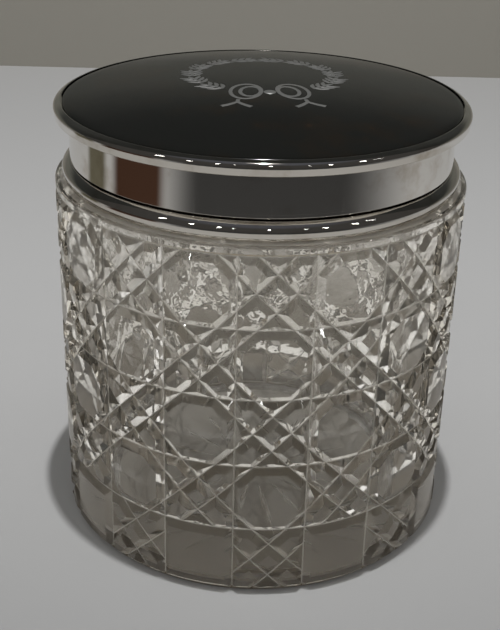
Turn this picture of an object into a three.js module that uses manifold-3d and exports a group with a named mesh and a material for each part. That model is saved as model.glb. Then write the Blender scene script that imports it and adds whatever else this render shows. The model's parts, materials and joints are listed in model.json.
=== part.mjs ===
// Cut-glass vanity jar with a silver collar and a pull-off lid of tortoiseshell inlaid with silver.
// Millimetres, +Z up. The origin is the centre of the base, and the front of the jar faces -Y.
import * as THREE from 'three';
import { mergeVertices } from 'three/addons/utils/BufferGeometryUtils.js';
import Module from 'manifold-3d';

// Cut glass: the wall pattern is a checkerboard of cells, button beside star, in columns and rows.
const bodyRadius = 42;
const columnCount = 18;
const rowCount = 5;
const rowHeight = 14.65;
const columnTurn = THREE.MathUtils.degToRad(4.6);
const lowestCutHeight = 0.7;
const cutDepth = 1.15;
const cutHalfWidth = 1.4;
const diagonalCutShare = 0.52;
const topCutHalfWidth = 0.7;
const shoulderBand = 1.35;
const shoulderRound = 0.4;
const footInset = 0.7;
const footRingWidth = 5.5;
const starInset = 3;
const starDepth = 1.3;
const starPointDepth = 0.5;

// Inside and neck of the glass.
const wallThickness = 8.5;
const neckWall = 2.7;
const floorThickness = 10;
const floorCorner = 4;
const neckHeight = 10.2;
const lipRound = 0.6;

// Silver collar: a sleeve bedded in plaster on the neck, with a moulding that the lid stands on.
const beddingGap = 0.15;
const beddingThickness = 0.65;
const sheetThickness = 0.6;
const solderGap = 0.1;
const seatGap = 0.3;
const collarLipReach = 2.6;
const mouldingHeight = 3.5;
const mouldingReach = 2.7;

// Lid: band, bezel, top plate and tortoiseshell panel.
const slidingGap = 0.35;
const bandThickness = 0.8;
const bandHeight = 9.3;
const bezelHeight = 2.8;
const bezelReach = 2.75;
const bezelLedgeDrop = 1.4;
const bezelLipThickness = 1.5;
const panelGap = 0.3;
const panelThickness = 1.4;
const panelRise = 2.4;
const panelEdgeHeight = 0.7;
const panelEdgeRound = 0.8;
const panelEdgeWidth = 2.8;

// Silver inlay: a laurel wreath tied with a ribbon bow, set in pockets of the panel.
const inlayThickness = 0.5;
const inlayGap = 0.3;
const pocketOverrun = 2;
const wreathRadius = 14.6;
const wreathSetBack = 7.8;
const wreathTurn = THREE.MathUtils.degToRad(5);
const sprigsPerSide = 6;
const firstSprigAngle = THREE.MathUtils.degToRad(41);
const lastSprigAngle = THREE.MathUtils.degToRad(161);
const leafLength = 4.1;
const leafWidth = 1.4;
const sideLeafLength = 3.5;
const sideLeafAngle = THREE.MathUtils.degToRad(44);
const stemLength = 1;
const stemHalfWidth = 0.32;
const knotRadius = 1;
const loopTurn = THREE.MathUtils.degToRad(8);
const loopLengthShare = 0.205;
const loopWidthShare = 0.336;
const innerLoopShare = 0.66;
const ribbonHalfWidth = 0.38;
const tailReachShare = 0.445;
const tailDropShare = 0.319;
const tailTurn = THREE.MathUtils.degToRad(82);
const tailLength = 1.8;
const forkTurn = THREE.MathUtils.degToRad(43);
const forkLength = 3.9;

// How finely round forms are divided.
const roundSegmentCount = 48;
const curveStepCount = 4;
const hiddenStepCount = 2;
const loopStepCount = 7;

// Places that follow from the sizes above.
const cavityRadius = bodyRadius - wallThickness;
const neckRadius = cavityRadius + neckWall;
const cutTop = lowestCutHeight + rowCount * rowHeight;
const shoulderHeight = cutTop + topCutHalfWidth + shoulderBand;
const neckTop = shoulderHeight + neckHeight;
const sleeveInside = neckRadius + 2 * beddingGap + beddingThickness;
const sleeveOutside = sleeveInside + sheetThickness;
const collarBottom = shoulderHeight + seatGap;
const mouldingTop = collarBottom + mouldingHeight;
const mouldingInside = sleeveOutside + solderGap;
const lidSeat = mouldingTop + seatGap;
const bandInside = sleeveOutside + slidingGap;
const bandOutside = bandInside + bandThickness;
const bezelInside = bandOutside + solderGap;
const bezelOutside = bezelInside + bezelReach;
const bezelLedge = bandHeight + solderGap + sheetThickness;
const bezelBottom = bezelLedge - bezelLedgeDrop;
const bezelTop = bezelBottom + bezelHeight;
const seatRadius = bezelOutside - bezelLipThickness;
const panelRadius = seatRadius - panelGap;
const panelBottom = bezelLedge + panelGap;
const panelEdgeTop = panelBottom + panelEdgeHeight;
const crownEdgeRadius = panelRadius - panelEdgeWidth;
const crownEdgeHeight = panelEdgeTop + panelEdgeRound;
const crownTop = crownEdgeHeight + panelRise;
const crownSphere = (crownEdgeRadius ** 2 + panelRise ** 2) / (2 * panelRise);
const loopHalfLength = loopLengthShare * wreathRadius;
const loopHalfWidth = loopWidthShare * wreathRadius;
const tailReach = tailReachShare * wreathRadius;
const tailDrop = tailDropShare * wreathRadius;

const materials = {
  glass: new THREE.MeshStandardMaterial({ color: 0xb9bab4, roughness: 0.08, metalness: 0,
    transparent: true, opacity: 0.6 }),
  plaster: new THREE.MeshStandardMaterial({ color: 0xcfc8b8, roughness: 0.9, metalness: 0 }),
  silver: new THREE.MeshStandardMaterial({ color: 0xb8b4ac, roughness: 0.15, metalness: 1 }),
  gilt: new THREE.MeshStandardMaterial({ color: 0xc9a760, roughness: 0.25, metalness: 1 }),
  shell: new THREE.MeshStandardMaterial({ color: 0x241d17, roughness: 0.15, metalness: 0 }),
  inlay: new THREE.MeshStandardMaterial({ color: 0x8f8d88, roughness: 0.3, metalness: 1 }),
};

const manifold = await Module();
manifold.setup();

function named(name, geometry, material) {
  const mesh = new THREE.Mesh(geometry, material);
  mesh.name = name;
  return mesh;
}

// A ring or disc turned about Z from its section, given as [radius, height] points.
function turned(section) {
  const points = section.map(([radius, height]) => new THREE.Vector2(radius, height));
  return new THREE.LatheGeometry(points, roundSegmentCount).rotateX(Math.PI / 2);
}

// Points of a quarter round from one [radius, height] corner to another, bulging away from the axis.
function quarterRound([startRadius, startHeight], [endRadius, endHeight], steps = curveStepCount) {
  const points = [];
  for (let step = 0; step <= steps; step += 1) {
    const angle = (step / steps) * (Math.PI / 2);
    points.push([
      endRadius + (startRadius - endRadius) * Math.cos(angle),
      startHeight + (endHeight - startHeight) * Math.sin(angle),
    ]);
  }
  return points;
}

// Solids for joining and cutting.
function solidFrom(geometry) {
  const bare = geometry.clone();
  bare.deleteAttribute('normal');
  bare.deleteAttribute('uv');
  const merged = mergeVertices(bare);
  const corners = [];
  for (let first = 0; first < merged.index.count; first += 3) {
    const triangle = [0, 1, 2].map((offset) => merged.index.getX(first + offset));
    if (new Set(triangle).size === 3) corners.push(...triangle);
  }
  return new manifold.Manifold(new manifold.Mesh({
    numProp: 3,
    vertProperties: new Float32Array(merged.attributes.position.array),
    triVerts: new Uint32Array(corners),
  }));
}

function geometryFrom(solid) {
  const mesh = solid.getMesh();
  const geometry = new THREE.BufferGeometry();
  geometry.setAttribute('position', new THREE.BufferAttribute(mesh.vertProperties, 3));
  geometry.setIndex(new THREE.BufferAttribute(mesh.triVerts, 1));
  return geometry;
}

function joined(geometries) {
  return geometries.map(solidFrom).reduce((whole, piece) => whole.add(piece));
}

// The cut pattern. A facet lists [across, up, depth] points of one square cell, each from -1 to 1,
// with depth 0 on the uncut glass and 1 at the bottom of a cut. Each cell is a quarter, turned 4 times.
const halfCell = (Math.PI * bodyRadius / columnCount + rowHeight / 2) / 2;
const cutShare = cutHalfWidth / halfCell;
const slantShare = cutShare * Math.SQRT2;
const sideShare = 1 - diagonalCutShare;

// A button: an octagon left standing, with a small pyramid outside each slanted side.
function buttonQuarter() {
  const edge = 1 - cutShare;
  const corner = 2 - diagonalCutShare - slantShare - edge;
  const reach = diagonalCutShare * (1 - Math.SQRT1_2);
  const tip = [1 - reach, 1 - reach, Math.max(0, 1 - reach / cutShare)];
  return [
    [[0, 0, 0], [edge, -corner, 0], [edge, corner, 0]],
    [[0, 0, 0], [edge, corner, 0], [corner, edge, 0]],
    [[edge, -corner, 0], [1, -sideShare, 1], [1, sideShare, 1], [edge, corner, 0]],
    [[edge, corner, 0], [1, sideShare, 1], [sideShare, 1, 1], [corner, edge, 0]],
    [[1, sideShare, 1], tip, [sideShare, 1, 1]],
    [[1, sideShare, 1], [1, 1, 1], tip],
    [[1, 1, 1], [sideShare, 1, 1], tip],
  ];
}

// A star: crossing slanted cuts that leave a diamond, four side pyramids and four pointed corner flats.
function starQuarter() {
  const edge = 1 - cutShare;
  const diamond = diagonalCutShare - slantShare;
  const along = edge - diamond;
  const reach = sideShare * (Math.SQRT2 - 1);
  const tip = [1 - reach, 0, Math.max(0, 1 - reach / cutShare)];
  const cross = diagonalCutShare;
  return [
    [[0, 0, 0], [diamond, 0, 0], [0, diamond, 0]],
    [[diamond, 0, 0], [cross, 0, 1], [0, cross, 1], [0, diamond, 0]],
    [[cross, 0, 1], [1, -sideShare, 1], tip],
    [[1, -sideShare, 1], [1, sideShare, 1], tip],
    [[1, sideShare, 1], [cross, 0, 1], tip],
    [[edge, edge, 0], [along, edge, 0], [slantShare, cross, 0], [cross, slantShare, 0], [edge, along, 0]],
    [[cross, 0, 1], [cross, slantShare, 0], [slantShare, cross, 0], [0, cross, 1]],
    [[cross, 0, 1], [1, sideShare, 1], [edge, along, 0], [cross, slantShare, 0]],
    [[0, cross, 1], [slantShare, cross, 0], [along, edge, 0], [sideShare, 1, 1]],
    [[1, sideShare, 1], [1, 1, 1], [edge, edge, 0], [edge, along, 0]],
    [[sideShare, 1, 1], [along, edge, 0], [edge, edge, 0], [1, 1, 1]],
  ];
}

function wholeCell(quarter) {
  const facets = [];
  for (let turn = 0; turn < 4; turn += 1) {
    for (const facet of quarter) {
      facets.push(facet.map(([across, up, depth]) => {
        if (turn === 1) return [-up, across, depth];
        if (turn === 2) return [-across, -up, depth];
        if (turn === 3) return [up, -across, depth];
        return [across, up, depth];
      }));
    }
  }
  return facets;
}

function onCylinder(radius, angle, height) {
  return new THREE.Vector3(radius * Math.sin(angle), -radius * Math.cos(angle), height);
}

function columnAngle(column, across) {
  return columnTurn + (column + across / 2) * (2 * Math.PI / columnCount);
}

// The cut wall, as a list of triangles.
function cutWall() {
  const button = wholeCell(buttonQuarter());
  const star = wholeCell(starQuarter());
  const triangles = [];
  for (let column = 0; column < columnCount; column += 1) {
    for (let row = 0; row < rowCount; row += 1) {
      const facets = (column + row) % 2 === 0 ? star : button;
      const middle = lowestCutHeight + (row + 1 / 2) * rowHeight;
      for (const facet of facets) {
        const points = facet.map(([across, up, depth]) => onCylinder(
          bodyRadius - depth * cutDepth, columnAngle(column, across), middle + up * rowHeight / 2));
        points.slice(2).forEach((point, index) => {
          triangles.push(points[0], points[index + 1], point);
        });
      }
    }
  }
  return triangles;
}

// A ring of points at the angles where the cuts meet the pattern's edge. Each third point lies on a
// column's cut, and may have its own height.
function pointRing(radius, height, cutHeight = height) {
  const points = [];
  for (let column = 0; column < columnCount; column += 1) {
    points.push(onCylinder(radius, columnAngle(column, -1), cutHeight));
    points.push(onCylinder(radius, columnAngle(column, -sideShare), height));
    points.push(onCylinder(radius, columnAngle(column, sideShare), height));
  }
  return points;
}

// Walls between rings listed in order along the section.
function ringWalls(rings) {
  const triangles = [];
  rings.slice(1).forEach((after, index) => {
    const before = rings[index];
    before.forEach((point, place) => {
      const next = (place + 1) % before.length;
      triangles.push(point, before[next], after[next]);
      triangles.push(point, after[next], after[place]);
    });
  });
  return triangles;
}

function glassBody() {
  const footRadius = bodyRadius - cutDepth - footInset;
  const starRadius = footRadius - footRingWidth;
  const cutRadius = bodyRadius - cutDepth;
  const under = ringWalls([
    pointRing(0, starPointDepth),
    pointRing(starRadius - starInset, starPointDepth, starDepth),
    pointRing(starRadius, 0),
    pointRing(footRadius, 0),
    pointRing(cutRadius, lowestCutHeight),
  ]);
  const inside = ringWalls([
    pointRing(cutRadius, cutTop),
    pointRing(bodyRadius, cutTop + topCutHalfWidth),
    pointRing(bodyRadius, shoulderHeight - shoulderRound),
    pointRing(bodyRadius - shoulderRound, shoulderHeight),
    pointRing(neckRadius, shoulderHeight),
    pointRing(neckRadius, neckTop - lipRound),
    pointRing(neckRadius - lipRound, neckTop),
    pointRing(cavityRadius + lipRound, neckTop),
    pointRing(cavityRadius, neckTop - lipRound),
    ...quarterRound([cavityRadius, floorThickness + floorCorner],
      [cavityRadius - floorCorner, floorThickness]).map(([radius, height]) => pointRing(radius, height)),
    pointRing(0, floorThickness),
  ]);
  const geometry = new THREE.BufferGeometry().setFromPoints([...under, ...cutWall(), ...inside]);
  return geometryFrom(solidFrom(geometry));
}

function collarPlaster() {
  const inside = neckRadius + beddingGap;
  const outside = inside + beddingThickness;
  const top = neckTop - lipRound;
  return turned([[inside, collarBottom], [outside, collarBottom], [outside, top], [inside, top],
    [inside, collarBottom]]);
}

// The sleeve turns inward over the lip of the glass.
function collarSleeve() {
  const lipUnder = neckTop + seatGap;
  const lipTop = lipUnder + sheetThickness;
  const lipEdge = sleeveInside - collarLipReach;
  const round = sheetThickness / 2;
  return turned([[sleeveInside, collarBottom], [sleeveOutside, collarBottom],
    ...quarterRound([sleeveOutside, lipTop - round], [sleeveOutside - round, lipTop], 2),
    [lipEdge, lipTop], [lipEdge, lipUnder], [sleeveInside, lipUnder], [sleeveInside, collarBottom]]);
}

// The moulding slants in at its foot, is widest just above it, and curves in to the lid's band.
function collarMoulding() {
  const outside = mouldingInside + mouldingReach;
  const footRound = mouldingHeight / 5;
  const widest = collarBottom + footRound;
  return turned([[mouldingInside, collarBottom], [outside - footRound, collarBottom],
    [outside, widest],
    ...quarterRound([outside, widest], [bandOutside - solderGap, mouldingTop]).slice(1),
    [mouldingInside, mouldingTop], [mouldingInside, collarBottom]]);
}

function lidBand() {
  const edge = bandThickness / 4;
  return turned([[bandInside, edge], [bandInside + edge, 0], [bandOutside - edge, 0],
    [bandOutside, edge], [bandOutside, bandHeight], [bandInside, bandHeight], [bandInside, edge]]);
}

function lidBezel() {
  const under = bezelHeight / 6;
  return turned([[bezelInside, bezelBottom], [bezelOutside - under, bezelBottom],
    ...quarterRound([bezelOutside, bezelBottom + under], [seatRadius + solderGap, bezelTop]),
    [seatRadius, bezelTop - solderGap], [seatRadius, bezelLedge], [bezelInside, bezelLedge],
    [bezelInside, bezelBottom]]);
}

// Height of the panel's crown at a distance from its centre.
function crownHeight(distance) {
  return crownTop - crownSphere + Math.sqrt(crownSphere ** 2 - distance ** 2);
}

// The crown's curve or one below it by a drop, from the axis out to an edge.
function crownPoints(edgeRadius, drop, steps = curveStepCount) {
  const points = [];
  for (let step = 0; step <= steps; step += 1) {
    const share = step / steps;
    points.push([edgeRadius * share, crownHeight(crownEdgeRadius * share) - drop]);
  }
  return points;
}

function panelBlank() {
  const hollowRadius = bezelInside - solderGap;
  return turned([...crownPoints(hollowRadius, panelThickness, hiddenStepCount), [hollowRadius, panelBottom],
    [panelRadius, panelBottom],
    ...quarterRound([panelRadius, panelEdgeTop], [crownEdgeRadius, crownEdgeHeight]),
    ...crownPoints(crownEdgeRadius, 0).reverse().slice(1)]);
}

// The plate follows the panel's hollow and stands on the top of the band.
function topPlate() {
  const rim = bandOutside - solderGap;
  const hollow = bandInside - solderGap;
  const topDrop = panelThickness + panelGap;
  const rimHeight = bandHeight + solderGap;
  return turned([...crownPoints(hollow, topDrop + sheetThickness, hiddenStepCount), [hollow, rimHeight],
    [rim, rimHeight], [rim, rimHeight + sheetThickness / 2],
    ...crownPoints(hollow, topDrop, hiddenStepCount).reverse()]);
}

// Inlay outlines, each grown on every side by the given amount.
function leafShape(length, width, grow) {
  const outlineShares = [[0.3, 0.95], [0.68, 0.85]];
  const back = -grow;
  const whole = length + 2.5 * grow;
  const half = width / 2 + grow;
  const shape = new THREE.Shape().moveTo(back, 0);
  for (const [along, out] of outlineShares) shape.lineTo(back + whole * along, -half * out);
  shape.lineTo(back + whole, 0);
  for (const [along, out] of outlineShares.toReversed()) shape.lineTo(back + whole * along, half * out);
  return shape;
}

function bandShape(start, end, halfWidth, grow) {
  const from = new THREE.Vector2(...start);
  const to = new THREE.Vector2(...end);
  const along = to.clone().sub(from).normalize();
  const out = new THREE.Vector2(-along.y, along.x).multiplyScalar(halfWidth + grow);
  from.addScaledVector(along, -grow);
  to.addScaledVector(along, grow);
  return new THREE.Shape([from.clone().sub(out), to.clone().sub(out), to.clone().add(out),
    from.clone().add(out)]);
}

// One ribbon ring, its middle set back so that rings of two sizes meet at the knot's end.
function loopShape(share, grow) {
  const half = ribbonHalfWidth + grow;
  const [length, width] = [loopHalfLength * share, loopHalfWidth * share];
  const middle = length - loopHalfLength;
  const shape = new THREE.Shape().absellipse(middle, 0, length + half, width + half,
    0, 2 * Math.PI, false, 0);
  shape.holes.push(new THREE.Path().absellipse(middle, 0, length - half, width - half,
    0, 2 * Math.PI, false, 0));
  return shape;
}

function discShape(radius, grow) {
  return new THREE.Shape().absarc(0, 0, radius + grow, 0, 2 * Math.PI, false);
}

// A piece's outlines as [shape, turn] pairs in its own flat, from how much they are grown.
function sprigOutlines(grow) {
  return [
    [leafShape(leafLength, leafWidth, grow), 0],
    [leafShape(sideLeafLength, leafWidth, grow), sideLeafAngle],
    [leafShape(sideLeafLength, leafWidth, grow), -sideLeafAngle],
    [bandShape([-stemLength, 0], [stemHalfWidth, 0], stemHalfWidth, grow), 0],
  ];
}

function loopOutlines(grow) {
  return [[loopShape(1, grow), 0], [loopShape(innerLoopShare, grow), 0]];
}

// A ribbon end: a band out from the knot that forks in two.
function tailOutlines(grow) {
  const split = tailLength - ribbonHalfWidth;
  const ends = [forkTurn, -forkTurn].map((turn) => [
    split + forkLength * Math.cos(turn), forkLength * Math.sin(turn)]);
  return [
    [bandShape([0, 0], [tailLength, 0], ribbonHalfWidth, grow), 0],
    ...ends.map((end) => [bandShape([split, 0], end, ribbonHalfWidth, grow), 0]),
  ];
}

// A flat slab of a piece, from one height to another above the crown's surface.
function slab(outlines, bottom, top) {
  return joined(outlines.map(([shape, turn]) => {
    const options = { depth: top - bottom, bevelEnabled: false, curveSegments: loopStepCount };
    return new THREE.ExtrudeGeometry(shape, options).rotateZ(turn).translate(0, 0, bottom);
  }));
}

// Places a flat piece on the crown: at a point, turned about the crown's normal there.
function onCrown(x, y, turn) {
  const normal = new THREE.Vector3(x, y, crownHeight(Math.hypot(x, y)) - crownTop + crownSphere);
  const tilt = new THREE.Quaternion().setFromUnitVectors(new THREE.Vector3(0, 0, 1), normal.normalize());
  const spin = new THREE.Quaternion().setFromAxisAngle(new THREE.Vector3(0, 0, 1), turn);
  const place = new THREE.Vector3(x, y, crownHeight(Math.hypot(x, y)));
  return new THREE.Matrix4().compose(place, tilt.multiply(spin), new THREE.Vector3(1, 1, 1));
}

// Every inlaid piece as { name, outlines, place }, the wreath turned as a whole about its centre.
function inlayPieces() {
  const pieces = [];
  const at = (fromFront, distance) => [
    distance * Math.sin(fromFront + wreathTurn),
    wreathSetBack - distance * Math.cos(fromFront + wreathTurn),
  ];
  for (const [sideName, side] of [['left', -1], ['right', 1]]) {
    for (let index = 0; index < sprigsPerSide; index += 1) {
      const share = index / (sprigsPerSide - 1);
      const fromFront = side * (firstSprigAngle + share * (lastSprigAngle - firstSprigAngle));
      const [x, y] = at(fromFront, wreathRadius);
      const turn = fromFront + wreathTurn + (side > 0 ? 0 : Math.PI);
      pieces.push({ name: `wreath_sprig_${sideName}_${index + 1}`, outlines: sprigOutlines,
        place: onCrown(x, y, turn) });
    }
  }
  const [knotX, knotY] = at(0, wreathRadius);
  const fromKnot = (direction, distance, turn) => onCrown(
    knotX + distance * Math.cos(direction + wreathTurn),
    knotY + distance * Math.sin(direction + wreathTurn), turn + wreathTurn);
  const loopMiddle = knotRadius + inlayGap + ribbonHalfWidth + loopHalfLength;
  const loopAt = (turn) => fromKnot(turn, loopMiddle, turn);
  const tailDistance = Math.hypot(tailReach, tailDrop);
  const tailFall = Math.atan2(tailDrop, tailReach);
  pieces.push(
    { name: 'bow_knot', outlines: (grow) => [[discShape(knotRadius, grow), 0]],
      place: fromKnot(0, 0, 0) },
    { name: 'bow_loop_left', outlines: loopOutlines, place: loopAt(Math.PI - loopTurn) },
    { name: 'bow_loop_right', outlines: loopOutlines, place: loopAt(loopTurn) },
    { name: 'bow_tail_left', outlines: tailOutlines,
      place: fromKnot(Math.PI + tailFall, tailDistance, Math.PI + tailTurn) },
    { name: 'bow_tail_right', outlines: tailOutlines,
      place: fromKnot(-tailFall, tailDistance, -tailTurn) },
  );
  return pieces;
}

function buildJar() {
  const jar = new THREE.Group();
  jar.add(
    named('glass_body', glassBody(), materials.glass),
    named('collar_plaster', collarPlaster(), materials.plaster),
    named('collar_sleeve', collarSleeve(), materials.silver),
    named('collar_moulding', collarMoulding(), materials.silver),
  );
  return jar;
}

function buildLid() {
  const lid = new THREE.Group();
  lid.position.z = lidSeat;
  lid.add(
    named('lid_band', lidBand(), materials.silver),
    named('lid_bezel', lidBezel(), materials.silver),
    named('lid_top_plate', topPlate(), materials.gilt),
  );
  let panel = solidFrom(panelBlank());
  for (const piece of inlayPieces()) {
    const pocket = slab(piece.outlines(inlayGap), -inlayThickness - inlayGap, pocketOverrun);
    panel = panel.subtract(pocket.transform(piece.place.elements));
    const inset = slab(piece.outlines(0), -inlayThickness, 0);
    const geometry = geometryFrom(inset).applyMatrix4(piece.place);
    lid.add(named(piece.name, geometry, materials.inlay));
  }
  lid.add(named('shell_panel', geometryFrom(panel), materials.shell));
  return lid;
}

const group = new THREE.Group();
group.add(buildJar(), buildLid());
export default group;
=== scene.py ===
# %% [markdown]
# # A cut-glass vanity jar with a silver and tortoiseshell lid
#
# This notebook dresses a dressing-table jar. The jar's construction, its moving lid and all of its sizes
# come from a fixed frame. Here each piece gets the fine surface of the real one: the wheel-cut glass, the
# spun silver mounts, and the polished tortoiseshell with its silver inlay. The cells run from top to
# bottom, and each one prints what it made.

# %% The frame
import json
import math
import bpy
from mathutils import Matrix, Vector

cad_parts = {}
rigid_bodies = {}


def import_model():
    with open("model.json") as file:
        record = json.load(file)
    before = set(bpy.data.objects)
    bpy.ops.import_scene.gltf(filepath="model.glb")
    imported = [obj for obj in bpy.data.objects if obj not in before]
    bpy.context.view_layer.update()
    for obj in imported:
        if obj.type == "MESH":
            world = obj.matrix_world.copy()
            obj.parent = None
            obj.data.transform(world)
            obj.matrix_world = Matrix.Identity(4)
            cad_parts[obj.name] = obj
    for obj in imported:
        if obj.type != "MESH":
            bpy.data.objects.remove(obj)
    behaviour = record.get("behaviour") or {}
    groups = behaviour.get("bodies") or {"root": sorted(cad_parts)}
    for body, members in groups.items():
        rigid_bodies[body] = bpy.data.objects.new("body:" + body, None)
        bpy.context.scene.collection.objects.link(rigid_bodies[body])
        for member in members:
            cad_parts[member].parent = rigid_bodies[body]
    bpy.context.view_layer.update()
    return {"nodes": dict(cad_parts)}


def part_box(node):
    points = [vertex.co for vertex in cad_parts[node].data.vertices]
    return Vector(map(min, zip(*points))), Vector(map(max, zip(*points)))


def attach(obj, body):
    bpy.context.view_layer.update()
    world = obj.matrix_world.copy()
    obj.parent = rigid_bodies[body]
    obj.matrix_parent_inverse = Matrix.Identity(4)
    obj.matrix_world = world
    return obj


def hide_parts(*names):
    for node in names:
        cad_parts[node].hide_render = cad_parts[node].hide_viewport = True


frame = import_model()
MM = 0.001

# %% [markdown]
# ## The camera
#
# A photograph's camera can be matched by eye or by fitting its position to edges that are known to be
# round and level. The second way was used: the rims of the lid, the rings cut in the glass and the foot
# give the camera's distance and height. The photographer held it slightly turned, which is the roll.

# %% The camera
image_height = 630
focal_pixels = 1148.1
film_height = 36
camera_place = Vector((-1.51, -226.35, 152.77)) * MM
camera_target = Vector((-1.51, 0, 42.56)) * MM
camera_roll = 0.0249

camera_data = bpy.data.cameras.new("camera")
camera_data.sensor_fit = "VERTICAL"
camera_data.sensor_height = film_height
camera_data.lens = focal_pixels / image_height * film_height
camera_data.clip_start = 10 * MM
camera = bpy.data.objects.new("camera", camera_data)
bpy.context.scene.collection.objects.link(camera)
bpy.context.scene.camera = camera
forward = (camera_target - camera_place).normalized()
level = forward.cross(Vector((0, 0, 1))).normalized()
turn = Matrix((level, level.cross(forward), -forward)).transposed().to_4x4()
camera.matrix_world = Matrix.Translation(camera_place) @ turn @ Matrix.Rotation(camera_roll, 4, "Z")
bpy.context.scene.view_settings.view_transform = "Standard"
print("camera", round((camera_place - camera_target).length / MM), "mm from the middle of the jar")

# %% [markdown]
# ## Sizes
#
# Every place is worked out from the frame, so the fine pieces land where the construction has them. The
# few sizes that the frame's boxes don't show, such as the width of a cut, are named here in millimetres.

# %% Sizes taken from the frame
glass_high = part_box("glass_body")[1]
sleeve_low, sleeve_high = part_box("collar_sleeve")
moulding_low, moulding_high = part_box("collar_moulding")
band_low, band_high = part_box("lid_band")
bezel_low, bezel_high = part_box("lid_bezel")
plate_low, plate_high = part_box("lid_top_plate")
panel_low, panel_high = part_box("shell_panel")

body_radius = glass_high.x
neck_top = glass_high.z
column_count = 18
row_count = 5
row_height = 14.65 * MM
first_column_turn = math.radians(4.6)
lowest_cut_height = 0.7 * MM
cut_depth = 1.15 * MM
cut_half_width = 1.4 * MM
diagonal_cut_share = 0.52
top_cut_half_width = 0.7 * MM
collar_clearance = 0.3 * MM
shoulder_height = sleeve_low.z - collar_clearance
shoulder_round = 0.4 * MM
cavity_radius = 33.5 * MM
neck_radius = 36.2 * MM
cavity_floor = 10 * MM
floor_corner = 4 * MM
lip_round = 0.6 * MM
foot_inset = 0.7 * MM
foot_ring_width = 5.5 * MM
cut_top = lowest_cut_height + row_count * row_height
print("glass radius", round(body_radius / MM, 2), "neck top", round(neck_top / MM, 2))

# %% [markdown]
# ## Helpers for modelling
#
# Small helpers go into edit mode with only some vertices selected, apply a modifier, shade a piece, and
# hand a finished one to the frame with its body.

# %% Helpers
def select_only(piece):
    if bpy.context.mode != "OBJECT":
        bpy.ops.object.mode_set(mode="OBJECT")
    bpy.ops.object.select_all(action="DESELECT")
    piece.select_set(True)
    bpy.context.view_layer.objects.active = piece


def edit(piece, chosen=lambda place: True, kind="VERT"):
    """Opens a piece in edit mode, with the vertices selected whose place is chosen."""
    select_only(piece)
    bpy.ops.object.mode_set(mode="EDIT")
    bpy.ops.mesh.select_mode(type="VERT")
    bpy.ops.mesh.select_all(action="DESELECT")
    bpy.ops.object.mode_set(mode="OBJECT")
    for vertex in piece.data.vertices:
        vertex.select = chosen(vertex.co)
    bpy.ops.object.mode_set(mode="EDIT")
    bpy.ops.mesh.select_mode(type=kind)


def done():
    bpy.ops.object.mode_set(mode="OBJECT")


def outward():
    """Turns every face of the open piece outwards, and leaves edit mode."""
    bpy.ops.mesh.select_all(action="SELECT")
    bpy.ops.mesh.normals_make_consistent(inside=False)
    done()


def fresh(name):
    """Names the object that was just added, and applies its place."""
    piece = bpy.context.object
    piece.name = piece.data.name = name
    bpy.ops.object.transform_apply(location=True, rotation=True, scale=True)
    return piece


def modify(piece, kind, **settings):
    """Adds a modifier and applies it."""
    select_only(piece)
    modifier = piece.modifiers.new(kind.lower(), kind)
    for name, value in settings.items():
        setattr(modifier, name, value)
    bpy.ops.object.modifier_apply(modifier=modifier.name)


def smooth(piece, crisp):
    """Shades a piece smooth up to an angle, with large faces kept flat where small ones round their edge."""
    select_only(piece)
    bpy.ops.object.shade_smooth_by_angle(angle=crisp)
    modify(piece, "WEIGHTED_NORMAL", keep_sharp=True)


def hand_in(piece, body, slot, *nodes):
    """Gives a finished piece its body and hides the nodes that it stands for. The slot is not used."""
    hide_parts(*nodes)
    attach(piece, body)
    print(piece.name, len(piece.data.polygons), "faces, for", ", ".join(nodes))


# %% [markdown]
# ## The cut wall of the glass
#
# On the real jar a spinning stone wheel with a V-shaped edge cuts straight grooves in a plain glass
# cylinder: one down each column, one round each row, and slanted ones that cross every second cell. What
# is left standing between them is the pattern: octagonal buttons and small crossed stars. Drawing every
# facet as its own polygon would work, but it would hide how simple the pattern is. So the wall is made
# as the cutter makes it: a flat slab, two columns wide, is cut by V-shaped prisms. It is then bent round
# and repeated nine times.

# %% A slab of two columns
column_width = 2 * math.pi * body_radius / column_count
slab_columns = 2
slab_width = slab_columns * column_width
slab_thickness = 3 * MM
wall_height = row_count * row_height

bpy.ops.mesh.primitive_cube_add(size=1, location=(slab_width / 2, slab_thickness / 2,
    lowest_cut_height + wall_height / 2), scale=(slab_width, slab_thickness, wall_height))
glass = fresh("cut_glass_jar")
print("slab", [round(side / MM, 2) for side in glass.dimensions])

# %% [markdown]
# The wheel's edge is a triangular prism. Its point reaches the bottom of a cut, and it stands out of the
# slab, so that its back never touches the surface that it cuts. All the prisms cut at once: they go into
# a collection, and one Boolean modifier takes the whole collection away. In the lowest row the cutter lifts
# the wheel at the edges of each crossed cell, so the panels between them keep their square corners.

# %% The cuts
hair = 0.01 * MM
wheel_overrun = 1 * MM
wheel_length = 4 * wall_height
wheel_half_width = cut_half_width * (cut_depth + wheel_overrun) / cut_depth
wheels = bpy.data.collections.new("wheels")
bpy.context.scene.collection.children.link(wheels)


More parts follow.
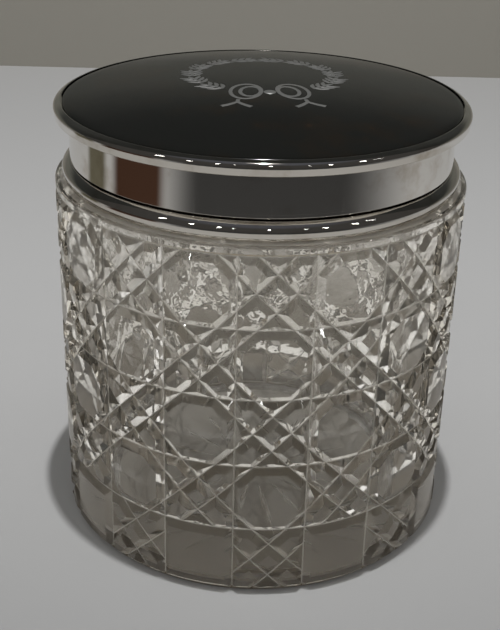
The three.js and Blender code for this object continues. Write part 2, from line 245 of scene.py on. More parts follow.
def wheel_edge(across, up, lean):
    """A V-shaped prism through a place on the slab, leaning from upright by an angle."""
    bpy.ops.mesh.primitive_plane_add(size=2 * wheel_half_width)
    prism = fresh("wheel_edge")
    edit(prism, lambda place: place.y > 0)
    bpy.ops.mesh.merge(type="CENTER")
    done()
    edit(prism, lambda place: place.y > 0)
    bpy.ops.transform.translate(value=(0, cut_depth - wheel_half_width, 0))
    done()
    edit(prism, lambda place: place.y < 0)
    bpy.ops.transform.translate(value=(0, wheel_half_width - wheel_overrun, 0))
    bpy.ops.mesh.select_all(action="SELECT")
    bpy.ops.transform.translate(value=(0, 0, -wheel_length / 2))
    bpy.ops.mesh.extrude_region_move(TRANSFORM_OT_translate={"value": (0, 0, wheel_length)})
    outward()
    prism.rotation_euler = (0, lean, 0)
    prism.location = (across, 0, up)
    bpy.ops.object.transform_apply(location=True, rotation=True)
    bpy.context.scene.collection.objects.unlink(prism)
    wheels.objects.link(prism)
    return prism


def lift_wheel(prism, *planes):
    """Ends a cut at planes, each given as a place on it and the direction that is cut off."""
    bpy.context.scene.collection.objects.link(prism)
    for place, direction in planes:
        edit(prism)
        bpy.ops.mesh.bisect(plane_co=place, plane_no=direction, use_fill=True, clear_outer=True)
        done()
    bpy.context.scene.collection.objects.unlink(prism)


for line in range(slab_columns + 1):
    wheel_edge(line * column_width, lowest_cut_height, 0)
for line in range(row_count + 1):
    wheel_edge(0, lowest_cut_height + line * row_height, math.pi / 2)
star_across, star_up = column_width / 2, lowest_cut_height + row_height / 2
half_cell = row_height / 2
slant = math.atan2(column_width, row_height)
foot_row_top = lowest_cut_height + row_height
crossed_cells = range(-1, 4)
for cell in crossed_cells:
    for side in (-1, 1):
        for lean in (slant, -slant):
            up = star_up + (4 * cell + side * diagonal_cut_share) * half_cell
            lift_wheel(wheel_edge(star_across, up, lean), ((0, 0, foot_row_top), (0, 0, -1)))
            if cell == 0:
                lift_wheel(wheel_edge(star_across, up, lean), ((0, 0, foot_row_top + hair), (0, 0, 1)),
                    ((0, 0, 0), (-1, 0, 0)), ((column_width, 0, 0), (1, 0, 0)))

modify(glass, "BOOLEAN", operation="DIFFERENCE", solver="EXACT", operand_type="COLLECTION",
    collection=wheels)
for prism in list(wheels.objects):
    bpy.data.objects.remove(prism)
bpy.data.collections.remove(wheels)
print("cut slab has", len(glass.data.polygons), "faces")

# %% [markdown]
# Only the carved front of the slab is wanted. Its back, top, bottom and ends go, because the jar's own
# shoulder, inside and base will be drawn out of its rims. Before the bend, the sheet is sliced into
# narrow upright strips, so that it bends into a true round and not into flats.

# %% The carved sheet, sliced into strips
strips_per_column = 8
strip_width = column_width / strips_per_column


def lies_flat(places, axis, value):
    return all(abs(place[axis] - value) < hair for place in places)


def is_rough_side(places):
    """True for the slab's back, top, bottom and ends, but not for its carved front."""
    planes = ((0, 0), (0, slab_width), (1, slab_thickness), (2, lowest_cut_height), (2, cut_top))
    return any(lies_flat(places, axis, value) for axis, value in planes)


edit(glass, lambda place: False, "FACE")
done()
for face in glass.data.polygons:
    face.select = is_rough_side([glass.data.vertices[corner].co for corner in face.vertices])
bpy.ops.object.mode_set(mode="EDIT")
bpy.ops.mesh.delete(type="FACE")
for slice_number in range(1, slab_columns * strips_per_column):
    bpy.ops.mesh.select_all(action="SELECT")
    bpy.ops.mesh.bisect(plane_co=(slice_number * strip_width, 0, 0), plane_no=(1, 0, 0))
bpy.ops.mesh.select_all(action="SELECT")
bpy.ops.mesh.remove_doubles(threshold=hair / 2)
done()
print("sheet of", len(glass.data.polygons), "faces")

# %% [markdown]
# The Simple Deform modifier bends the sheet about the upright axis. Two columns of eighteen take 40
# degrees of the round. The Array modifier then repeats them about the jar's axis: it copies the turn of
# an empty object from one repeat to the next, and joins their edges.

# %% The bent and repeated wall
repeats = column_count // slab_columns
modify(glass, "SIMPLE_DEFORM", deform_method="BEND", deform_axis="Z", angle=2 * math.pi / repeats)
first_edge_turn = first_column_turn - math.pi / column_count
select_only(glass)
glass.location = (0, -body_radius, 0)
bpy.ops.object.transform_apply(location=True, rotation=False, scale=False)
glass.rotation_euler = (0, 0, first_edge_turn)
bpy.ops.object.transform_apply(location=False, rotation=True, scale=False)

step = bpy.data.objects.new("one_repeat", None)
bpy.context.scene.collection.objects.link(step)
step.rotation_euler = (0, 0, 2 * math.pi / repeats)
bpy.context.view_layer.update()
modify(glass, "ARRAY", count=repeats, use_relative_offset=False, use_object_offset=True, offset_object=step,
    use_merge_vertices=True, use_merge_vertices_cap=True, merge_threshold=hair)
bpy.data.objects.remove(step)
reaches = [math.hypot(vertex.co.x, vertex.co.y) / MM for vertex in glass.data.vertices]
print("wall radius from", round(min(reaches), 3), "to", round(max(reaches), 3))

# %% [markdown]
# The wall is a tube with two open rims. Each rim is extruded ring by ring along the jar's section, as a
# potter draws up a wall, and the last ring is merged into one point on the axis. The upper rim becomes
# the shoulder, the neck, the lip and the inside. The lower one becomes the foot and the base.

# %% Shoulder, neck, inside and base
def quarter_round(start, end, steps):
    """(radius, height) places of a quarter round between two, leaving the first one straight up or down."""
    places = []
    for step in range(1, steps + 1):
        angle = step / steps * math.pi / 2
        places.append((end[0] + (start[0] - end[0]) * math.cos(angle),
            start[1] + (end[1] - start[1]) * math.sin(angle)))
    return places


def draw_out(piece, rim, rings):
    """Extrudes a rim through (radius, height) rings, and closes it on the axis."""
    radius, height = rim
    edit(piece, lambda place: abs(place.z - height) < hair and place.xy.length < radius + hair)
    for next_radius, next_height in rings:
        bpy.ops.mesh.extrude_region_move()
        scale = next_radius / radius
        bpy.ops.transform.resize(value=(scale, scale, 1), center_override=(0, 0, 0))
        bpy.ops.transform.translate(value=(0, 0, next_height - height))
        radius, height = next_radius, next_height
    bpy.ops.mesh.extrude_region_move()
    bpy.ops.mesh.merge(type="CENTER")
    done()


cut_radius = body_radius - cut_depth
foot_radius = cut_radius - foot_inset
star_radius = foot_radius - foot_ring_width
neck_fillet = 0.8 * MM
base_recess = 0.5 * MM
shoulder_steps, lip_steps, corner_steps = 5, 4, 10
shoulder_start = (body_radius, shoulder_height - shoulder_round)
shoulder_end = (body_radius - shoulder_round, shoulder_height)
fillet_start = (neck_radius + neck_fillet, shoulder_height)
lip_out = (neck_radius, neck_top - lip_round)
lip_in = (cavity_radius + lip_round, neck_top)
floor_start = (cavity_radius, cavity_floor + floor_corner)
floor_end = (cavity_radius - floor_corner, cavity_floor)

draw_out(glass, (cut_radius, cut_top), [
    (body_radius, cut_top + top_cut_half_width),
    shoulder_start, *quarter_round(shoulder_start, shoulder_end, shoulder_steps),
    fillet_start, (neck_radius + neck_fillet / 4, shoulder_height + neck_fillet / 4),
    (neck_radius, shoulder_height + neck_fillet),
    lip_out, *quarter_round(lip_out, (neck_radius - lip_round, neck_top), lip_steps),
    lip_in, (cavity_radius, neck_top - lip_round),
    floor_start, *quarter_round(floor_start, floor_end, corner_steps),
    (floor_end[0] / 2, cavity_floor)])
draw_out(glass, (cut_radius, lowest_cut_height), [
    (foot_radius, 0), (star_radius, 0), (star_radius - base_recess, base_recess),
    (star_radius / 2, base_recess)])
edit(glass)
bpy.ops.mesh.remove_doubles(threshold=hair / 2)
outward()
print("glass of", len(glass.data.polygons), "faces, height", round(glass.dimensions.z / MM, 2))

# %% [markdown]
# ## The star under the base
#
# The base of such a jar is cut too: a big V-edged wheel dips into it once for each point of a star, and
# because the wheel is round, each ray is deepest in its middle and runs out to nothing at both ends. A
# cone and its mirror image make the wheel, and copies of it stand round the axis.

# %% The star cut
star_point_count = 18
star_wheel_radius = 70 * MM
star_wheel_corners = 128
star_cut_depth = 0.5 * MM
star_ray_middle = 15.6 * MM

bpy.ops.mesh.primitive_cone_add(vertices=star_wheel_corners, radius1=star_wheel_radius,
    depth=star_wheel_radius, end_fill_type="NOTHING", location=(0, 0, star_wheel_radius / 2))
star_wheel = fresh("star_wheel")
modify(star_wheel, "MIRROR", use_axis=(False, False, True), use_mirror_merge=True, merge_threshold=hair)
edit(star_wheel)
outward()
wheel_rise = base_recess + star_cut_depth - star_wheel_radius
star_wheel.rotation_euler = (math.pi / 2, 0, 0)
star_wheel.location = (star_ray_middle, 0, wheel_rise)
bpy.ops.object.transform_apply(location=True, rotation=True, scale=True)

for ray in range(star_point_count):
    star_wheel.rotation_euler = (0, 0, 2 * math.pi / star_point_count)
    select_only(star_wheel)
    bpy.ops.object.transform_apply(location=False, rotation=True, scale=False)
    modify(glass, "BOOLEAN", operation="DIFFERENCE", solver="EXACT", object=star_wheel)
bpy.data.objects.remove(star_wheel)
print("glass of", len(glass.data.polygons), "faces with its star")

# %% [markdown]
# Smooth shading joins the narrow strips into true rounds, and an angle limit keeps every cut edge crisp.

# %% Crisp edges, and the glass takes its place
glass_crisp_angle = math.radians(14)
smooth(glass, glass_crisp_angle)
hand_in(glass, "jar", "cut_glass", "glass_body")

# %% [markdown]
# ## Spun silver
#
# A silversmith raises the mounts on a lathe: flat sheet or wire is spun against a former, so every
# section is the same all the way round. The same is done here. A section is drawn by extruding one
# vertex from corner to corner, its corners are rounded with a vertex bevel, and the outline is spun about
# the jar's axis. Corners are given as (radius, height, rounding).

# %% Spinning a section
spin_steps = 144
round_segments = 6
silver_crisp_angle = math.radians(28)


def spun(name, corners):
    """Spins a closed section, or one that starts and ends on the axis, into a solid."""
    bpy.ops.mesh.primitive_plane_add(size=MM)
    piece = fresh(name)
    edit(piece)
    bpy.ops.mesh.merge(type="CENTER")
    radius, height, _ = corners[0]
    bpy.ops.transform.translate(value=(radius, 0, height))
    on_axis = corners[0][0] < hair and corners[-1][0] < hair
    for next_radius, next_height, _ in corners[1:] if on_axis else [*corners[1:], corners[0]]:
        bpy.ops.mesh.extrude_region_move(
            TRANSFORM_OT_translate={"value": (next_radius - radius, 0, next_height - height)})
        radius, height = next_radius, next_height
    bpy.ops.mesh.select_all(action="SELECT")
    bpy.ops.mesh.remove_doubles(threshold=hair / 2)
    done()
    for radius, height, rounding in corners:
        if rounding:
            corner = Vector((radius, 0, height))
            edit(piece, lambda place: (place - corner).length < hair)
            bpy.ops.mesh.bevel(offset=rounding, segments=round_segments, affect="VERTICES")
            done()
    edit(piece)
    bpy.ops.mesh.spin(steps=spin_steps, angle=2 * math.pi, center=(0, 0, 0), axis=(0, 0, 1))
    bpy.ops.mesh.select_all(action="SELECT")
    bpy.ops.mesh.remove_doubles(threshold=hair / 2)
    outward()
    smooth(piece, silver_crisp_angle)
    return piece


def moulded(outside, foot, profile):
    """Corners of a moulding's face, from (inwards, upwards, rounding) in millimetres."""
    return [(outside - inwards * MM, foot + upwards * MM, rounding * MM)
        for inwards, upwards, rounding in profile]


# %% [markdown]
# The collar is two pieces soldered together. A thin sleeve sits on the neck in a bed of plaster and turns
# in over the glass lip, so that a bare edge of glass never meets the fingers. Round its foot runs a
# moulding that covers the join with the glass and gives the lid its seat. Its face leans out a little
# towards the top, so it mirrors the table, and its rounded brow mirrors the room.

# %% The collar
sheet = 0.6 * MM
solder_gap = 0.1 * MM
collar_lip_reach = 2.6 * MM
worn_edge = 0.1 * MM
sleeve_outside = sleeve_high.x
sleeve_inside = sleeve_outside - sheet
sleeve = spun("silver_collar_sleeve", [
    (sleeve_inside, sleeve_low.z, worn_edge),
    (sleeve_outside, sleeve_low.z, worn_edge),
    (sleeve_outside, sleeve_high.z, 0.45 * MM),
    (sleeve_inside - collar_lip_reach, sleeve_high.z, 0.2 * MM),
    (sleeve_inside - collar_lip_reach, sleeve_high.z - sheet, worn_edge),
    (sleeve_inside, sleeve_high.z - sheet, 0)])
hand_in(sleeve, "jar", "silver", "collar_sleeve")

moulding_outside = moulding_high.x
moulding_inside = sleeve_outside + solder_gap
moulding_profile = [(0.22, 0, 0.4), (0, 1.9, 0.4), (0.45, 2.7, 0.7)]
moulding = spun("silver_collar_moulding", [
    (moulding_inside, moulding_low.z, 0),
    *moulded(moulding_outside, moulding_low.z, moulding_profile),
    (moulding_outside - 1.55 * MM, moulding_high.z, 0.3 * MM),
    (moulding_inside, moulding_high.z, 0)])
hand_in(moulding, "jar", "silver", "collar_moulding")

# %% [markdown]
# The lid's silver is a straight band that slides over the sleeve, and a bezel round the top. The bezel has
# a face like the collar's moulding. Its inner lip is rubbed down against the tortoiseshell and holds it in
# place.

# %% The lid's band and bezel
band_outside = band_high.x
band_inside = band_outside - 0.8 * MM
band = spun("silver_lid_band", [
    (band_inside, band_low.z, 0.15 * MM),
    (band_outside, band_low.z, 0.2 * MM),
    (band_outside, band_high.z, 0),
    (band_inside, band_high.z, 0)])
hand_in(band, "lid", "silver", "lid_band")

bezel_outside = bezel_high.x
bezel_profile = [(0.2, 0, 0.3), (0, 1.65, 0.3), (0.3, 2.25, 0.45)]
bezel_ledge = bezel_low.z + 1.4 * MM
seat_radius = bezel_outside - 1.5 * MM
bezel = spun("silver_lid_bezel", [
    (band_outside + solder_gap, bezel_low.z, 0),
    *moulded(bezel_outside, bezel_low.z, bezel_profile),
    (seat_radius + 0.15 * MM, bezel_high.z, 0.12 * MM),
    (seat_radius, bezel_high.z - 0.1 * MM, 0),
    (seat_radius, bezel_ledge, 0),
    (band_outside + solder_gap, bezel_ledge, 0)])
hand_in(bezel, "lid", "silver", "lid_bezel")

# %% [markdown]
# ## The domed top
#
# A slice of tortoiseshell is softened in hot water and pressed over a low dome. Under it lies a domed
# silver plate, gilt on the side that faces into the jar. Both follow one sphere, so its height at any
# distance from the middle is one formula, which the inlay will use as well.

# %% The tortoiseshell and the plate under it
panel_outside = panel_high.x
panel_rise = 2.4 * MM
panel_edge_width = 2.8 * MM
panel_edge_height = 0.7 * MM
panel_thickness = 1.4 * MM
plate_gap = 0.3 * MM
plate_flat = 0.05 * MM
inlay_room = 0.07 * MM
crown_edge = panel_outside - panel_edge_width
crown_sphere = (crown_edge ** 2 + panel_rise ** 2) / (2 * panel_rise)
crown_steps, edge_steps = 18, 12
edge_pull_up, edge_pull_in = 0.5, 0.6


def crown_height(distance):
    """Height of the shell at a distance from the axis, a hair low so that the inlay has room."""
    return panel_high.z - inlay_room - crown_sphere + math.sqrt(crown_sphere ** 2 - distance ** 2)


def crown_places(edge, drop):
    """Places along the crown's curve, or below it by a drop, from the axis to an edge."""
    shares = [step / crown_steps for step in range(crown_steps + 1)]
    return [(edge * share, crown_height(crown_edge * share) - drop, 0) for share in shares]


def rolled_edge(start, end, slope):
    """(radius, height) places of a curve that leaves its start upright and runs into a slope at its end."""
    start, end = Vector(start), Vector(end)
    rise, reach = (end.y - start.y) * edge_pull_up, (start.x - end.x) * edge_pull_in
    pulls = (start, start + Vector((0, rise)), end + Vector((reach, -reach * slope)), end)
    places = []
    for step in range(1, edge_steps + 1):
        share = step / edge_steps
        weights = ((1 - share) ** 3, 3 * share * (1 - share) ** 2, 3 * share ** 2 * (1 - share), share ** 3)
        places.append(tuple(sum((pull * weight for pull, weight in zip(pulls, weights)), Vector((0, 0)))))
    return places


panel_edge_start = (panel_outside, panel_low.z + panel_edge_height)
crown_edge_place = (crown_edge, crown_height(crown_edge))
crown_slope = crown_edge / math.sqrt(crown_sphere ** 2 - crown_edge ** 2)
panel_edge = [(*place, 0) for place in rolled_edge(panel_edge_start, crown_edge_place, crown_slope)]
panel = spun("tortoiseshell_panel", [
    *crown_places(band_outside, panel_thickness),
    (band_outside + solder_gap, panel_low.z, 0),
    (panel_outside, panel_low.z, worn_edge),
    (*panel_edge_start, 0),
    *panel_edge,
    *crown_places(crown_edge, 0)[-2::-1]])
hand_in(panel, "lid", "tortoiseshell", "shell_panel")

plate_hollow = band_inside - solder_gap
plate = spun("gilt_lid_plate", [
    *crown_places(plate_hollow, panel_thickness + plate_gap + sheet),
    (plate_hollow + plate_flat, plate_low.z, 0),
    (plate_high.x, plate_low.z, 0),
    (plate_high.x, plate_low.z + sheet / 2, worn_edge),
    *crown_places(plate_hollow, panel_thickness + plate_gap)[::-1]])
hand_in(plate, "lid", "silver_gilt", "lid_top_plate")

# %% [markdown]
# ## The silver inlay
#
# The wreath and bow were sawn from thin silver, let into the warm shell, and engraved: each leaf has a
# midrib with a rounded half on both sides, and each ribbon is slightly full in its middle. Every one of
# these shapes is a strip that follows a line, so a grid is bent along the line and given its width there.
# A wall is added under it afterwards.

# %% A strip of inlay
inlay_wall = 0.25 * MM
inlay_stand = 0.02 * MM
leaf_relief = 0.06 * MM
ribbon_relief = 0.05 * MM
ribbon_half_width = 0.38 * MM
inlay_crisp_angle = math.radians(30)


def strip(name, line, half_width, relief, along=16, across=8):
    """Bends a grid along line(share), as wide as half_width(share), with relief(side) on its face."""
    bpy.ops.mesh.primitive_grid_add(x_subdivisions=along, y_subdivisions=across, size=2)
    piece = fresh(name)
    tiny = 0.001
    for vertex in piece.data.vertices:
        share, side = (vertex.co.x + 1) / 2, vertex.co.y
        place = Vector(line(share))
        ahead = (Vector(line(share + tiny)) - Vector(line(share - tiny))).normalized()
        out = Vector((-ahead.y, ahead.x)) * side * half_width(share)
        fade = min(1, half_width(share) / ribbon_half_width)
        vertex.co = (place.x + out.x, place.y + out.y, inlay_stand + fade * relief(side))
    edit(piece)
    bpy.ops.mesh.remove_doubles(threshold=hair)
    bpy.ops.mesh.extrude_region_move(TRANSFORM_OT_translate={"value": (0, 0, -inlay_wall)})
    outward()
    return piece


def united(name, pieces):
    """Joins overlapping pieces into one solid."""
    first, *others = pieces
    for other in others:
        modify(first, "BOOLEAN", operation="UNION", solver="MANIFOLD", object=other)
        bpy.data.objects.remove(other)
    first.name = first.data.name = name
    return first


def halves(side):
    return leaf_relief * math.sin(math.pi * abs(side))


def fullness(side):
    return ribbon_relief * math.cos(math.pi / 2 * side)


# %% [markdown]
# A laurel sprig is a stem with one leaf at its end and three pairs of side leaves. It is made once, lying
# flat along its own line, and then copied. A copy is turned to its place in the wreath, and each of its
# points is lifted to the height of the crown under it, so that it follows the dome.

# %% Laurel sprigs
end_leaf_length = 2.3 * MM
leaf_half_width = 0.4 * MM
leaf_tip_half_width = 0.05 * MM
leaf_bow_share = 0.08
leaf_fullness = 0.8
leaf_overlap = 0.4 * MM
side_leaf_length = 3.1 * MM
side_leaf_turn = math.radians(46)
leaf_pair_places = [-0.7 * MM, 0.9 * MM, 2.5 * MM]
stem_start, stem_end = -1 * MM, 3.1 * MM
stem_half_width = 0.3 * MM
wreath_radius = 14.6 * MM
wreath_back = 7.8 * MM
wreath_turn = math.radians(5)
sprigs_per_side = 6
first_sprig, last_sprig = math.radians(41), math.radians(161)


def leaf(length, lean, root):
    """A leaf that leans from the sprig's line, bowed a little, from a root on that line."""
    start = Vector((root, 0))
    straight = Vector((math.cos(lean), math.sin(lean)))
    sideways = Vector((-straight.y, straight.x)) * math.copysign(leaf_bow_share * length, lean)

    def midrib(share):
        return start + straight * length * share + sideways * math.sin(math.pi * share)

    def half_width(share):
        across = max(0, math.sin(math.pi * share ** leaf_fullness)) ** leaf_fullness
        return leaf_tip_half_width + leaf_half_width * across
    return strip("leaf", midrib, half_width, halves)


stem = strip("stem", lambda share: (stem_start + (stem_end - stem_start) * share, 0),
    lambda share: stem_half_width, fullness, along=8, across=6)
sprig = united("sprig", [stem, leaf(end_leaf_length, 0, stem_end - leaf_overlap)]
    + [leaf(side_leaf_length, side * side_leaf_turn, root) for root in leaf_pair_places for side in (-1, 1)])
print("sprig of", len(sprig.data.polygons), "faces")


def set_in_crown(piece, across, back, lean, node, copied=False):
    """Turns a flat piece to its place, lifts it to the crown, and hands it in."""
    if copied:
        piece = piece.copy()
        piece.data = piece.data.copy()
        bpy.context.scene.collection.objects.link(piece)
    piece.name = piece.data.name = "silver_" + node
    turned = Matrix.Translation((across, back, 0)) @ Matrix.Rotation(lean, 4, "Z")
    for vertex in piece.data.vertices:
        place = turned @ vertex.co
        vertex.co = (place.x, place.y, place.z + crown_height(place.xy.length))
    smooth(piece, inlay_crisp_angle)
    hand_in(piece, "lid", "silver_inlay", node)


for side_name, side in (("left", -1), ("right", 1)):
    for number in range(sprigs_per_side):
        share = number / (sprigs_per_side - 1)
        from_front = side * (first_sprig + share * (last_sprig - first_sprig)) + wreath_turn
        set_in_crown(sprig, wreath_radius * math.sin(from_front),
            wreath_back - wreath_radius * math.cos(from_front), from_front + (math.pi if side < 0 else 0),
            f"wreath_sprig_{side_name}_{number + 1}", copied=True)
bpy.data.objects.remove(sprig)

# %% [markdown]
# The bow is a knot, two double loops and two tails that fork like a swallow's and hang from the loops. A
# loop is a strip bent round an ellipse until its ends meet. Where two strips cross, they are joined into
# one solid, because they were sawn from one sheet.

# %% The ribbon bow
knot_radius = 1 * MM
knot_reach = 1.25 * knot_radius
knot_height = 0.14 * MM
inlay_gap = 0.3 * MM
loop_turn = math.radians(8)
loop_half_length = 0.205 * wreath_radius
loop_half_width = 0.336 * wreath_radius
inner_loop_share = 0.66
tail_reach = 0.445 * wreath_radius
tail_drop = 0.319 * wreath_radius
tail_turn = math.radians(82)
tail_length = 1.8 * MM
fork_turn = math.radians(43)
fork_length = 3.9 * MM
fork_root_share, fork_swing_share, fork_widening = 0.85, 0.25, 0.35
knot_across = wreath_radius * math.sin(wreath_turn)
knot_back = wreath_back - wreath_radius * math.cos(wreath_turn)
knot_clear = knot_radius + inlay_gap + ribbon_half_width


def ring(size):
    length, width = loop_half_length * size, loop_half_width * size
    middle = length - loop_half_length + (1 - size) * ribbon_half_width

    def ellipse(share):
        angle = 2 * math.pi * share
        return middle + length * math.cos(angle), width * math.sin(angle)
    return strip("ring", ellipse, lambda share: ribbon_half_width, fullness, along=56, across=6)


def ribbon_end(side):
    """One arm of a fork, which swings outwards from the tail and gets wider."""
    split = tail_length - ribbon_half_width

    def swing(share):
        away = side * fork_turn * (fork_root_share + fork_swing_share * share)
        return split + fork_length * share * math.cos(away), fork_length * share * math.sin(away)
    return strip("ribbon_end", swing, lambda share: ribbon_half_width * (1 + fork_widening * share),
        fullness, along=12, across=6)


def tail():
    stretch = strip("tail", lambda share: (tail_length * share, 0), lambda share: ribbon_half_width,
        fullness, along=8, across=6)
    return united("tail", [stretch, ribbon_end(1), ribbon_end(-1)])


def set_from_knot(piece, direction, distance, lean, node):
    """Sets a piece at a direction and distance from the knot, leaning by an angle of its own."""
    direction += wreath_turn
    set_in_crown(piece, knot_across + distance * math.cos(direction),
        knot_back + distance * math.sin(direction), lean + wreath_turn, node)


loop_distance = knot_clear + loop_half_length
tail_distance, tail_fall = math.hypot(tail_reach, tail_drop), math.atan2(tail_drop, tail_reach)
for side_name, loop_lean in (("left", math.pi - loop_turn), ("right", loop_turn)):
    set_from_knot(united("loops", [ring(1), ring(inner_loop_share)]), loop_lean, loop_distance, loop_lean,
        "bow_loop_" + side_name)
set_from_knot(tail(), math.pi + tail_fall, tail_distance, math.pi + tail_turn, "bow_tail_left")
set_from_knot(tail(), -tail_fall, tail_distance, -tail_turn, "bow_tail_right")

bpy.ops.mesh.primitive_uv_sphere_add(segments=24, ring_count=12, radius=1,
    scale=(knot_reach, knot_reach, knot_height))
knot = fresh("knot")
set_from_knot(knot, 0, 0, 0, "bow_knot")

# %% [markdown]
# ## Finishes
#
# Each finish is one material made of nodes. Written out one by one, the nodes of a sum would hide the
# sum, so a small class wraps a socket: plus, minus and times on it add Math nodes, and its node method
# makes any other node.

# %% Shader sums as plain expressions
class Wire:
    """An output socket of a material's or a world's nodes."""

    def __init__(self, tree, socket=None):
        self.tree = tree
        self.socket = socket

    def node(self, kind, settings=None, inputs=None, output=0):
        """Adds a node with its settings and the values or links of its sockets."""
        made = self.tree.nodes.new("ShaderNode" + kind)
        for name, value in (settings or {}).items():
            setattr(made, name, value)
        for name, value in (inputs or {}).items():
            if isinstance(value, Wire):
                self.tree.links.new(value.socket, made.inputs[name])
            else:
                made.inputs[name].default_value = value
        return Wire(self.tree, made.outputs[output])

    def sum(self, operation, first, second):
        return self.node("Math", {"operation": operation}, {0: first, 1: second})

    def __add__(self, other):
        return self.sum("ADD", self, other)

    def __radd__(self, other):
        return self.sum("ADD", other, self)

    def __sub__(self, other):
        return self.sum("SUBTRACT", self, other)

    def __rsub__(self, other):
        return self.sum("SUBTRACT", other, self)

    def __mul__(self, other):
        return self.sum("MULTIPLY", self, other)

    def axis(self, number):
        """The across, back or up part of a place or a direction."""
        return self.node("SeparateXYZ", inputs={"Vector": self}, output=number)

    def length(self):
        return self.node("VectorMath", {"operation": "LENGTH"}, {0: self}, output=1)

    def ramp(self, low, high):
        """A smooth rise from 0 at a low value to 1 at a high one."""
        return self.node("MapRange", {"interpolation_type": "SMOOTHSTEP"},
            {"Value": self, "From Min": low, "From Max": high})

    def between(self, first, second):
        """A colour between two, by this share."""
        return self.node("Mix", {"data_type": "RGBA"}, {0: self, 6: first, 7: second}, output=2)


def colour(red, green, blue):
    return red, green, blue, 1


def begin(name):
    """A new material, and its place on the object as a wire."""
    material = bpy.data.materials.new(name)
    material.use_nodes = True
    places = Wire(material.node_tree).node("TexCoord", output="Object")
    return material, places


def noise(places, scale, detail=3, roughness=0.5, stretch=(1, 1, 1)):
    """Cloudy noise with about so many spots to a metre, stretched along an axis where that is under 1."""
    mapped = places.node("Mapping", inputs={"Vector": places, "Scale": stretch})
    return places.node("TexNoise", inputs={"Vector": mapped, "Scale": scale, "Detail": detail,
        "Roughness": roughness})


def finish(material, constants, varying):
    """Sets constants on the surface shader's sockets, and links what varies."""
    shader = material.node_tree.nodes["Principled BSDF"]
    for name, value in constants.items():
        shader.inputs[name].default_value = value
    for name, wire in varying.items():
        material.node_tree.links.new(wire.socket, shader.inputs[name])
    return material


def shade(material, shader):
    """Makes a shader the surface of a material."""
    output = material.node_tree.nodes["Material Output"]
    material.node_tree.links.new(shader.socket, output.inputs["Surface"])


def own_shader(material):
    """A material's own surface shader, as a wire."""
    return Wire(material.node_tree, material.node_tree.nodes["Principled BSDF"].outputs[0])


def bump(height, distance):
    return height.node("Bump", inputs={"Height": height, "Distance": distance, "Strength": 1.0})


def wear(piece, material):
    piece.data.materials.clear()
    piece.data.materials.append(material)


# %% [markdown]
# ### Polished silver
#
# Old silver is never an even mirror. It has thin grey and brown tarnish in soft clouds, fine rings left
# by polishing on the lathe and short scratches from cloths, and its sheet is a little wavy, which makes
# the reflections swim. Tarnish darkens the colour and dulls the gloss, and the waves, rings and scratches
# are bump. The inlay is never polished by itself, so it is greyer and duller than the mounts.

# %% Silver
def silver_finish(name, bright, tarnished, gloss, dull, tarnish_from):
    material, places = begin(name)
    clouds = noise(places, 90, detail=5, roughness=0.6)
    tarnish = clouds.ramp(tarnish_from, tarnish_from + 0.25)
    rings = noise(places, 400, detail=2, stretch=(0.02, 0.02, 12))
    scratches = noise(places, 900, detail=2, stretch=(1, 1, 0.05))
    waves = noise(places, 110, detail=1)
    height = waves * 0.8 + rings * 0.1 + scratches * 0.04
    return finish(material, {"Metallic": 1.0}, {
        "Base Color": tarnish.between(bright, tarnished),
        "Roughness": gloss + tarnish * (dull - gloss) + scratches.ramp(0.55, 0.8) * 0.05,
        "Normal": bump(height, 0.03 * MM)})


silver = silver_finish("polished_silver", colour(0.83, 0.80, 0.75), colour(0.56, 0.5, 0.42),
    gloss=0.03, dull=0.08, tarnish_from=0.52)
inlay_silver = silver_finish("inlaid_silver", colour(0.41, 0.41, 0.4), colour(0.26, 0.255, 0.24),
    gloss=0.46, dull=0.6, tarnish_from=0.46)
gilt = silver_finish("silver_gilt", colour(0.86, 0.62, 0.30), colour(0.62, 0.42, 0.2),
    gloss=0.16, dull=0.3, tarnish_from=0.5)
for piece in (sleeve, moulding, band, bezel):
    wear(piece, silver)
wear(plate, gilt)
for piece in list(bpy.data.objects):
    if piece.name.startswith(("silver_wreath", "silver_bow")):
        wear(piece, inlay_silver)
print("silver on", silver.users, "pieces, inlay silver on", inlay_silver.users)

# %% [markdown]
# ### Tortoiseshell
#
# Dark tortoiseshell looks black until light falls across it. Then it shows brown clouds with soft edges
# and small amber flecks. It takes a deep polish, dulled by a haze of fine hair scratches.

# %% Tortoiseshell
shell, places = begin("dark_tortoiseshell")
mottle = noise(places, 70, detail=4, roughness=0.62)
flecks = noise(places, 420, detail=3, roughness=0.7)
brown = mottle.ramp(0.48, 0.7).between(colour(0.006, 0.0062, 0.0055), colour(0.009, 0.0068, 0.0046))
amber = (mottle.ramp(0.56, 0.72) * flecks.ramp(0.56, 0.7)).between(brown, colour(0.026, 0.0145, 0.008))
hairlines = noise(places, 1500, detail=2, stretch=(0.04, 1, 1)) * 0.5 + noise(places, 1300, detail=2,
    stretch=(1, 0.05, 1)) * 0.5
handling = noise(places, 60, detail=3)
finish(shell, {"IOR": 1.54}, {
    "Base Color": amber,
    "Roughness": 0.1 + handling.ramp(0.4, 0.75) * 0.08 + hairlines.ramp(0.55, 0.7) * 0.03,
    "Normal": bump(noise(places, 130, detail=1) * 0.9 + hairlines * 0.03, 0.02 * MM)})
wear(panel, shell)
print(shell.name, "on", panel.name)
